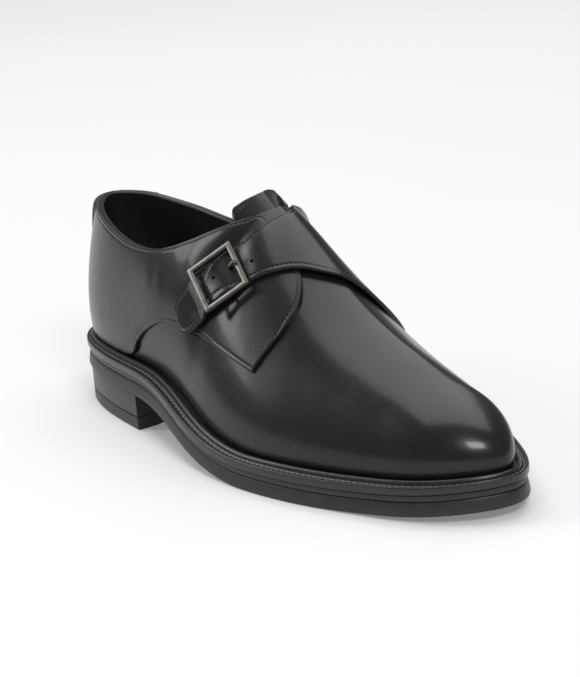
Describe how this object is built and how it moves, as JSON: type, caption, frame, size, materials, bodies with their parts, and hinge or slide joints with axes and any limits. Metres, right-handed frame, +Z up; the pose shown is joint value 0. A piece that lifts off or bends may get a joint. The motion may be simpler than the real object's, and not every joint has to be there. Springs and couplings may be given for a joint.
{
  "type": "monk strap shoe",
  "caption": "Right smooth leather monk strap shoe on a welted rubber sole, its strap crossing the instep to a buckle on the outer side.",
  "frame": {"origin": "under the middle of the shoe's bounding box, on the floor", "axes": "+X from the heel to the toe, +Y towards the inner side of the foot, +Z up"},
  "size_m": [0.3042, 0.118, 0.115],
  "materials": {
    "sole_rubber": "satin black moulded rubber",
    "welt_rubber": "glossy black storm welt with grey stitches",
    "sock": "matt black sock lining",
    "vamp_leather": "polished smooth black leather",
    "quarter_leather": "polished smooth black leather",
    "strap_leather": "polished smooth black leather",
    "tongue_leather": "smooth black leather",
    "buckle_metal": "brushed dark bronze"
  },
  "bodies": {
    "root": {"outsole": "sole_rubber", "heel_block": "sole_rubber", "heel_top_lift": "sole_rubber", "midsole": "sole_rubber", "welt": "welt_rubber", "insole": "sock", "upper": "vamp_leather", "quarter_outer": "quarter_leather", "quarter_inner_with_strap": "strap_leather", "back_strip": "quarter_leather", "tongue": "tongue_leather", "buckle_frame": "buckle_metal", "buckle_prong": "buckle_metal"}
  },
  "joints": []
}
